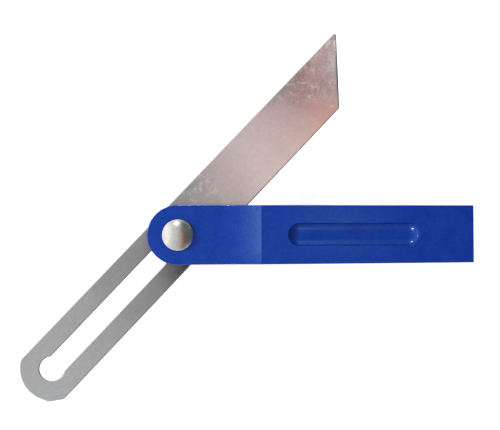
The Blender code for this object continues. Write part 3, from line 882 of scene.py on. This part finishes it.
# The grain tones the painted reflection, and the broken edges are bare grey steel.
# A thin dark line of painted shade runs along the slanted end, for its cut edge turned from the light.
bare_steel = (0.58, 0.59, 0.58)
edge_shade_grey = (0.20, 0.20, 0.20)
steel_grain = grouped(steel_tree, grain, steel_along, Scale=900.0, Stretch=0.12)
steel_shade = remap(steel_tree, steel_grain["Pits"], 0.3, 0.7, 0.95, 1.05)
steel_mottle = remap(steel_tree, steel_flecks, 0.3, 0.7, 0.97, 1.03)
steel_tone_and_painted_reflection = tinted(steel_tree, 1.0, steel_tone_and_painted_reflection, steel_shade, "MULTIPLY")
steel_tone_and_painted_reflection = tinted(steel_tree, 1.0, steel_tone_and_painted_reflection, steel_mottle, "MULTIPLY")
steel_upright = reckon(steel_tree, "ABSOLUTE", parted(steel_tree, steel_place["Normal"])["Z"])
steel_edge = remap(steel_tree, steel_upright, 0.985, 0.935)
steel_tone_and_painted_reflection = tinted(steel_tree, steel_edge, steel_tone_and_painted_reflection, bare_steel)
# Painted shade: a thin dark line along the slanted end.
steel_painted_edge_shade = wear_and_shade_patch(
    steel_tree, steel_along, steel_crumbs, 0.5,
    (0.1005, -0.0022, 0.0), 46.0, (0.0170, 0.0010, patch_thickness))
steel_rough = remap(steel_tree, steel_grain["Lines"], 0.0, 1.0, 0.28, 0.40)
fill(steel_tree, steel_shader, {
    "Base Color": tinted(steel_tree, steel_painted_edge_shade, steel_tone_and_painted_reflection, edge_shade_grey),
    "Metallic": 1.0,
    "Roughness": reckon(steel_tree, "MULTIPLY_ADD", steel_worn_share, 0.12, steel_rough),
    "Normal": bumped(steel_tree, steel_grain["Pits"], 0.12, 0.00002),
})
blade.data.materials.append(steel)
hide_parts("blade")
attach(blade, "blade")


# Friction washers: two thin white nylon discs, stamped from sheet.
# They sit on the bolt on both sides of the blade and keep it off the plastic.
bolt_clearance_radius = 0.0028
friction_radius = 0.0070
friction_near = 0.0009
friction_far = 0.0014
washer_edge_round = 0.00012
spin_merge = 0.000001


def turned(profile, steps=96):
    """The solid that a profile, drawn as (radius, height) points, sweeps round the bolt's axis."""
    shaped = bmesh.new()
    points = [shaped.verts.new((radius, 0.0, height)) for radius, height in profile]
    lines = [shaped.edges.new(pair) for pair in zip(points, points[1:])]
    bmesh.ops.spin(
        shaped, geom=points + lines, cent=(0.0, 0.0, 0.0), axis=(0.0, 0.0, 1.0),
        dvec=(0.0, 0.0, 0.0), angle=2 * math.pi, steps=steps, use_merge=True)
    bmesh.ops.remove_doubles(shaped, verts=shaped.verts, dist=spin_merge)
    bmesh.ops.recalc_face_normals(shaped, faces=shaped.faces)
    return shaped


def washer(name, inner, outer, low, high, edge_round):
    """A flat ring on the bolt with its four edges rounded."""
    ring = turned([(inner, low), (outer, low), (outer, high), (inner, high), (inner, low)])
    round_off(ring, sharp_edges(ring), edge_round, 3)
    return mesh_piece(name, ring, set_down, 60.0)


nylon, nylon_tree, nylon_shader = new_material("white_nylon_sheet")
nylon_place = nylon_tree.nodes.new("ShaderNodeTexCoord").outputs
nylon_clouds = noise(nylon_tree, nylon_place["Object"], 400.0, 4.0)
fill(nylon_tree, nylon_shader, {
    "Base Color": tinted(nylon_tree, nylon_clouds, (0.66, 0.64, 0.57), (0.80, 0.79, 0.74)),
    "Roughness": remap(nylon_tree, nylon_clouds, 0.0, 1.0, 0.42, 0.62),
    "Subsurface Weight": 0.15,
    "Subsurface Scale": 0.0005,
})

for washer_name, washer_low in (("front", friction_near), ("rear", -friction_far)):
    friction_disc = washer(
        washer_name + "_friction_disc", bolt_clearance_radius, friction_radius,
        washer_low, washer_low + friction_far - friction_near, washer_edge_round)
    friction_disc.data.materials.append(nylon)
    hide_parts(washer_name + "_friction_washer")
    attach(friction_disc, "friction_washers")


# Pivot bolt: a carriage bolt with a low polished dome, cold-headed from steel wire.
# Its square neck is held in the front cheek, and the wing nut runs on its rolled thread.
head_radius = 0.00665
head_seat = 0.0063
head_rim = 0.0005
head_top = 0.0096
head_rim_round = 0.0002
dome_steps = 20
neck_half = 0.0026
neck_low = 0.0028
shank_radius = 0.0025
bolt_end = -0.0187
end_chamfer = 0.0006
thread_pitch = 0.0008
thread_depth = 0.00042
thread_top = -0.0040
thread_steps = 36
tooth_flat_from = 0.42
tooth_flat_to = 0.58

dome_rise = head_top - head_seat - head_rim
dome_radius = (head_radius ** 2 + dome_rise ** 2) / (2 * dome_rise)
dome_angle = math.asin(head_radius / dome_radius)
bolt_profile = [(0.0, head_top)]
for step in range(1, dome_steps + 1):
    tilt = dome_angle * step / dome_steps
    bolt_profile.append((
        dome_radius * math.sin(tilt), head_top - dome_radius * (1 - math.cos(tilt))))
bolt_profile += [
    (head_radius, head_seat + head_rim_round),
    (head_radius - head_rim_round, head_seat),
    (shank_radius, head_seat),
    (shank_radius, thread_top),
    (0.0, thread_top),
]
bolt_shaped = turned(bolt_profile)

thread = bmesh.new()
root_radius = shank_radius - thread_depth
thread_turns = math.ceil((thread_top - bolt_end) / thread_pitch) + 3
thread_start = thread_top + 2 * thread_pitch
tooth = [
    thread.verts.new((radius, 0.0, thread_start - thread_pitch * share))
    for radius, share in (
        (root_radius, 0.0),
        (shank_radius, tooth_flat_from),
        (shank_radius, tooth_flat_to),
        (root_radius, 1.0),
    )
]
tooth_lines = [thread.edges.new(pair) for pair in zip(tooth, tooth[1:])]
bmesh.ops.spin(
    thread, geom=tooth + tooth_lines, cent=(0.0, 0.0, 0.0), axis=(0.0, 0.0, 1.0),
    dvec=(0.0, 0.0, -thread_pitch / thread_steps), angle=2 * math.pi * thread_turns,
    steps=thread_steps * thread_turns)
bmesh.ops.remove_doubles(thread, verts=thread.verts, dist=spin_merge)
trim(thread, (0.0, 0.0, thread_top + thread_pitch / 2), (0.0, 0.0, 1.0))
trim(thread, (0.0, 0.0, bolt_end), (0.0, 0.0, -1.0))
bmesh.ops.holes_fill(thread, edges=[edge for edge in thread.edges if edge.is_boundary])
bmesh.ops.recalc_face_normals(thread, faces=thread.faces)
chamfer_tool = turned([
    (0.0, thread_top + thread_pitch),
    (shank_radius + end_chamfer, thread_top + thread_pitch),
    (shank_radius + end_chamfer, bolt_end + 2 * end_chamfer),
    (shank_radius - end_chamfer, bolt_end),
    (0.0, bolt_end),
])
machined(thread, [("INTERSECT", chamfer_tool)])
neck = box_tool((-neck_half, -neck_half, neck_low), (neck_half, neck_half, head_seat + head_rim))
machined(bolt_shaped, [("UNION", neck), ("UNION", thread)])
bolt = mesh_piece("carriage_bolt", bolt_shaped, set_down, 28.0)


def grained_metal(name, centre, scale, stretch, tones, colours, roughness, bump):
    """Finished steel, whose grain shifts its colour, its polish and its surface."""
    metal, tree, shader = new_material(name)
    place = tree.nodes.new("ShaderNodeTexCoord").outputs
    metal_grain = grouped(tree, grain, placed(tree, place["Object"], centre), Scale=scale, Stretch=stretch)
    fill(tree, shader, {
        "Base Color": tinted(tree, remap(tree, metal_grain["Pits"], *tones), *colours),
        "Metallic": 1.0,
        "Roughness": remap(tree, metal_grain["Lines"], 0.0, 1.0, *roughness),
        "Normal": bumped(tree, metal_grain["Pits"], *bump),
    })
    return metal


polish = grained_metal(
    "polished_bolt_steel", pivot, scale=700.0, stretch=0.35,
    tones=(0.32, 0.62), colours=((0.49, 0.485, 0.46), (0.58, 0.575, 0.56)),
    roughness=(0.22, 0.31), bump=(0.06, 0.00002))
bolt.data.materials.append(polish)
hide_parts("pivot_bolt")
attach(bolt, "stock")


# Flat washer: stamped steel, zinc plated, under the wing nut.
# Its edges are rolled over a little by the punch.
flat_washer_top = -0.0063
flat_washer_low = -0.0073
flat_washer_radius = 0.0050
stamped_edge_round = 0.0002

zinc = grained_metal(
    "zinc_plating", (0.0, 0.0, 0.0), scale=500.0, stretch=0.6,
    tones=(0.30, 0.65), colours=((0.24, 0.25, 0.26), (0.46, 0.47, 0.49)),
    roughness=(0.24, 0.46), bump=(0.35, 0.00006))
nut_washer = washer(
    "stamped_washer", bolt_clearance_radius, flat_washer_radius,
    flat_washer_low, flat_washer_top, stamped_edge_round)
nut_washer.data.materials.append(zinc)
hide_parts("flat_washer")
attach(nut_washer, "clamp_washer")


# Wing nut: cast in one with its two ears, tumbled soft, tapped and zinc plated.
# It hangs under the handle, with its ears along the grip.
nut_seat = -0.0076
nut_base_radius = 0.0050
nut_top_radius = 0.0041
hub_height = 0.0065
wing_half_span = 0.0120
wing_height = 0.0120
wing_half_thickness = 0.0010
lobe_radius = 0.0034
wing_foot = 0.0012
wing_edge_round = 0.0007
cast_grain = 0.00022
cast_soft_passes = 4
tapped_radius = 0.0026
tapped_chamfer = 0.0005
sink_past = 0.0001
seat_faced = 0.00005


def wing_ear(side):
    """One ear of the wing nut: a round lobe drawn down to the hub, with soft edges."""
    ear = bmesh.new()
    lobe_centre = (side * (wing_half_span - lobe_radius), 0.0, wing_height - lobe_radius)
    lobe_place = Matrix.Translation(lobe_centre) @ Matrix.Rotation(math.pi / 2, 4, "X")
    bmesh.ops.create_cone(
        ear, cap_ends=True, segments=48, radius1=lobe_radius, radius2=lobe_radius,
        depth=2 * wing_half_thickness, matrix=lobe_place)
    for foot_along, foot_up in ((0.0, wing_foot), (nut_base_radius, wing_foot), (0.0, hub_height)):
        for across in (-wing_half_thickness, wing_half_thickness):
            ear.verts.new((side * foot_along, across, foot_up))
    hull = bmesh.ops.convex_hull(ear, input=ear.verts[:])
    inside = [part for part in hull["geom_interior"] if isinstance(part, bmesh.types.BMVert)]
    bmesh.ops.delete(ear, geom=inside, context="VERTS")
    bmesh.ops.dissolve_limit(ear, angle_limit=0.01, verts=ear.verts, edges=ear.edges)
    bmesh.ops.recalc_face_normals(ear, faces=ear.faces)
    round_off(ear, sharp_edges(ear), wing_edge_round, 4)
    return ear


def cast_soft(shaped, voxel, passes):
    """The shape as a casting: its inner corners filled and its outer ones worn round."""
    mesh = bpy.data.meshes.new("casting")
    shaped.to_mesh(mesh)
    casting = stand("casting", mesh)
    step = casting.modifiers.new("casting", "REMESH")
    step.mode = "VOXEL"
    step.voxel_size = voxel
    take_shape(shaped, casting)
    bpy.data.objects.remove(casting)
    bpy.data.meshes.remove(mesh)
    for _ in range(passes):
        bmesh.ops.smooth_vert(
            shaped, verts=shaped.verts, factor=0.5, use_axis_x=True, use_axis_y=True, use_axis_z=True)


nut_shaped = turned([
    (0.0, hub_height), (nut_top_radius, hub_height), (nut_base_radius, 0.0), (0.0, 0.0)])
sink_radius = tapped_radius + tapped_chamfer + sink_past
tapping_drill = turned([
    (0.0, -cut_past),
    (sink_radius, -cut_past),
    (sink_radius, -sink_past),
    (tapped_radius, tapped_chamfer),
    (tapped_radius, hub_height - tapped_chamfer),
    (sink_radius, hub_height + sink_past),
    (sink_radius, wing_height + cut_past),
    (0.0, wing_height + cut_past),
])
machined(nut_shaped, [
    ("UNION", wing_ear(1)),
    ("UNION", wing_ear(-1)),
    ("DIFFERENCE", tapping_drill),
])
cast_soft(nut_shaped, cast_grain, cast_soft_passes)
seat_cut = box_tool(
    (-wing_half_span, -wing_half_span, -cut_past), (wing_half_span, wing_half_span, seat_faced))
machined(nut_shaped, [("DIFFERENCE", seat_cut)])
hung = Matrix.Translation((0.0, 0.0, nut_seat)) @ Matrix.Rotation(math.pi, 4, "X")
wing_nut = mesh_piece("cast_wing_nut", nut_shaped, set_down @ hung, 40.0)
wing_nut.data.materials.append(zinc)
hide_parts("wing_nut")
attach(wing_nut, "wing_nut")


bpy.context.scene.view_settings.view_transform = "Standard"
